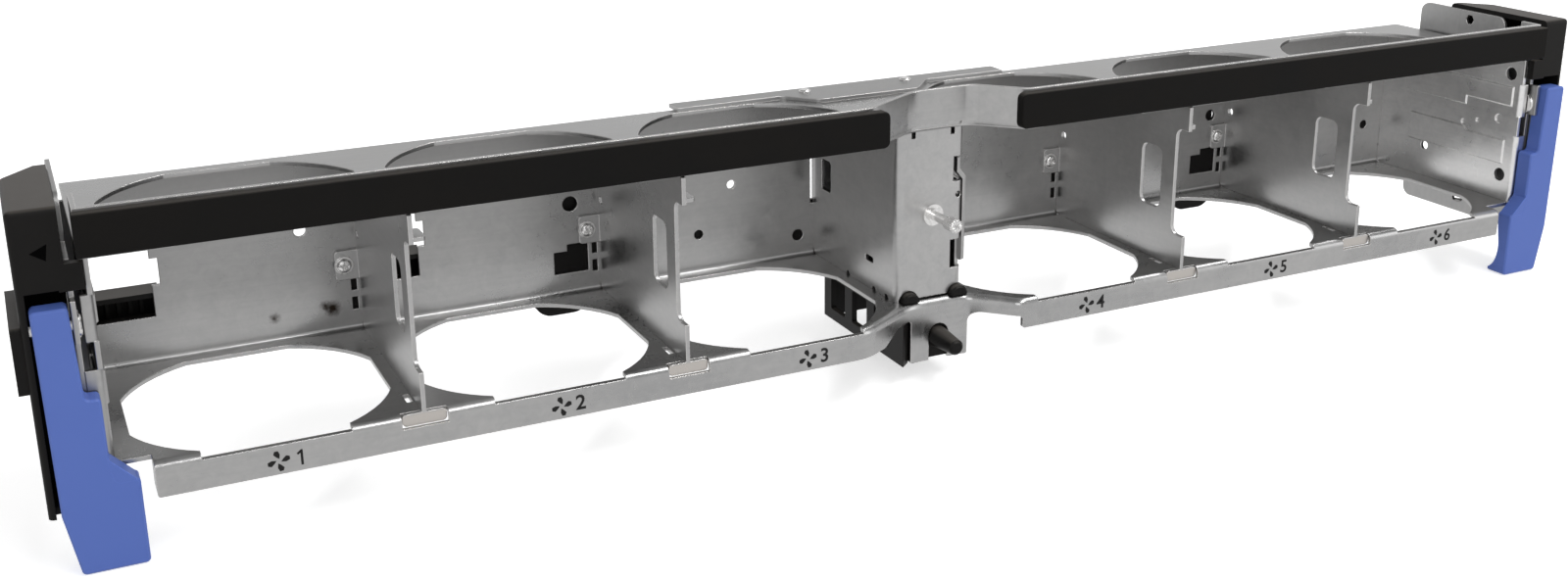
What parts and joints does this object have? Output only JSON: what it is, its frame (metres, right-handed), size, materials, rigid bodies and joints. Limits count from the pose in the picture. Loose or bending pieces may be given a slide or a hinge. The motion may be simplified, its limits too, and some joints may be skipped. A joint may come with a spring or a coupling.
{
  "type": "server fan cage",
  "caption": "Folded steel cage for a row of server fans, open at the front, with round air openings, thin dividers, a central tower, boxed ends and two blue release levers.",
  "frame": {"origin": "centre of the back wall's outer face, halfway between the end walls and halfway up the bays", "axes": "+X along the row of fan bays, +Y from the open front out through the back wall, +Z from the plate with the long tongue towards the plate with the trim strips"},
  "size_m": [0.4264, 0.0705, 0.0768],
  "materials": {
    "sheet_steel": "galvanised, satin, faint mottling",
    "dark_trim": "satin black",
    "black_plastic": "satin black, fine grain",
    "blue_plastic": "satin blue",
    "pin_steel": "turned, bright"
  },
  "bodies": {
    "root": {"bracket_rivets": "pin_steel", "cable_tray": "black_plastic", "cage_channel": "sheet_steel", "centre_housing": "black_plastic", "divider_1_2": "sheet_steel", "divider_2_3": "sheet_steel", "divider_4_5": "sheet_steel", "divider_5_6": "sheet_steel", "divider_screws": "pin_steel", "fan_connector_1": "black_plastic", "fan_connector_2": "black_plastic", "fan_connector_3": "black_plastic", "fan_connector_4": "black_plastic", "fan_connector_5": "black_plastic", "fan_connector_6": "black_plastic", "guide_pin": "black_plastic", "left_end_housing": "black_plastic", "left_end_wall": "sheet_steel", "left_front_strip": "dark_trim", "left_outer_plate": "sheet_steel", "left_pivot_pin": "pin_steel", "rear_bracket": "sheet_steel", "rear_guide_left": "black_plastic", "rear_guide_right": "black_plastic", "right_end_housing": "black_plastic", "right_end_wall": "sheet_steel", "right_front_strip": "dark_trim", "right_outer_plate": "sheet_steel", "right_pivot_pin": "pin_steel", "tower_shell": "sheet_steel", "tower_side_plate": "sheet_steel", "tower_stud": "pin_steel"},
    "left_lever": {"left_lever_grip": "blue_plastic", "left_lever_arm": "pin_steel"},
    "right_lever": {"right_lever_grip": "blue_plastic", "right_lever_arm": "pin_steel"}
  },
  "joints": [
    {"name": "left_lever_swing", "type": "hinge", "parent": "root", "child": "left_lever", "pos_m": [-0.205, -0.0535, 0.00795], "axis": [-1, 0, 0], "range_deg": [0, 85]},
    {"name": "right_lever_swing", "type": "hinge", "parent": "root", "child": "right_lever", "pos_m": [0.205, -0.0535, 0.00795], "axis": [-1, 0, 0], "range_deg": [0, 85]}
  ]
}
